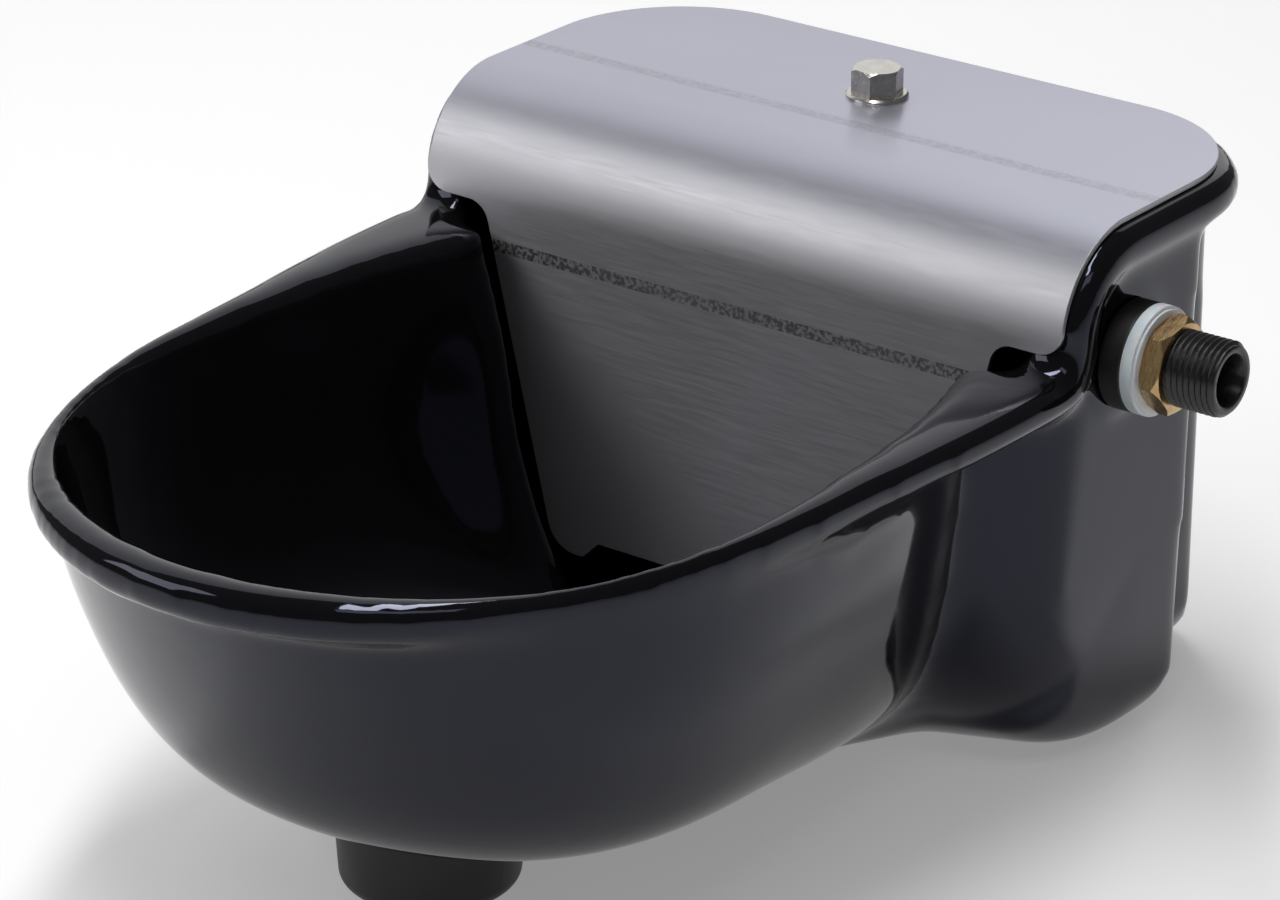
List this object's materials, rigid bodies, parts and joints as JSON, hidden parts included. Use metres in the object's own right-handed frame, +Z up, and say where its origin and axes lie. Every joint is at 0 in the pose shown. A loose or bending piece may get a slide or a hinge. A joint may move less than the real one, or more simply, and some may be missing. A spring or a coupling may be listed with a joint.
{
  "type": "livestock drinking bowl",
  "caption": "Enamelled cast-iron drinking bowl for livestock with a float valve in a covered tank, a threaded side inlet and a drain plug.",
  "frame": {"origin": "centre of the two wall-bolt holes on the plane of the back face that lies on the wall", "axes": "+Z up, +Y into the wall, +X to the threaded water inlet; the drinking bowl points along -Y"},
  "size_m": [0.2521, 0.353, 0.1694],
  "materials": {
    "black_enamel": "glossy vitreous enamel on cast iron",
    "stainless_sheet": "satin rolled stainless sheet",
    "stainless_fastener": "plain stainless",
    "black_rubber": "matt moulded rubber",
    "white_nylon": "slightly translucent nylon",
    "brass": "machined",
    "black_plastic": "moulded glass-filled plastic",
    "float_plastic": "blow-moulded polyethylene"
  },
  "bodies": {
    "bowl": {"bowl_casting": "black_enamel", "tank_casting": "black_enamel", "cover_nut": "stainless_fastener", "inlet_rubber_washer": "black_rubber", "inlet_nylon_washer": "white_nylon", "inlet_backnut": "brass", "inlet_inner_gasket": "black_rubber", "valve_body": "black_plastic", "valve_jet": "brass", "jet_seal": "black_rubber", "pivot_pin": "stainless_fastener", "pin_clip": "stainless_fastener"},
    "cover": {"cover_plate": "stainless_sheet"},
    "bolt": {"cover_bolt": "stainless_fastener"},
    "plug": {"drain_plug": "black_rubber"},
    "float": {"float_lever": "black_plastic", "float_body": "float_plastic", "float_stem": "stainless_fastener", "stem_lock_nut": "stainless_fastener", "stem_lower_nut": "stainless_fastener", "stem_knob": "black_plastic"},
    "piston": {"valve_piston": "white_nylon", "piston_seal": "black_rubber"}
  },
  "joints": [
    {"name": "cover_lift", "type": "slide", "parent": "bowl", "child": "cover", "axis": [0, 0, 1], "range_m": [0, 0.17]},
    {"name": "cover_bolt_unscrew", "type": "slide", "parent": "cover", "child": "bolt", "axis": [0, 0, 1], "range_m": [0, 0.03]},
    {"name": "plug_pull", "type": "slide", "parent": "bowl", "child": "plug", "axis": [0, 0, 1], "range_m": [0, 0.07]},
    {"name": "float_swing", "type": "hinge", "parent": "bowl", "child": "float", "pos_m": [0.052, -0.0884, -0.0241], "axis": [0, 1, 0], "range_deg": [0, 18]},
    {"name": "piston_slide", "type": "slide", "parent": "bowl", "child": "piston", "axis": [1, 0, 0], "range_m": [0, 0.0044]}
  ],
  "couplings": [
    {"joint": "piston_slide", "follows": "float_swing", "m_per_rad": 0.014}
  ]
}
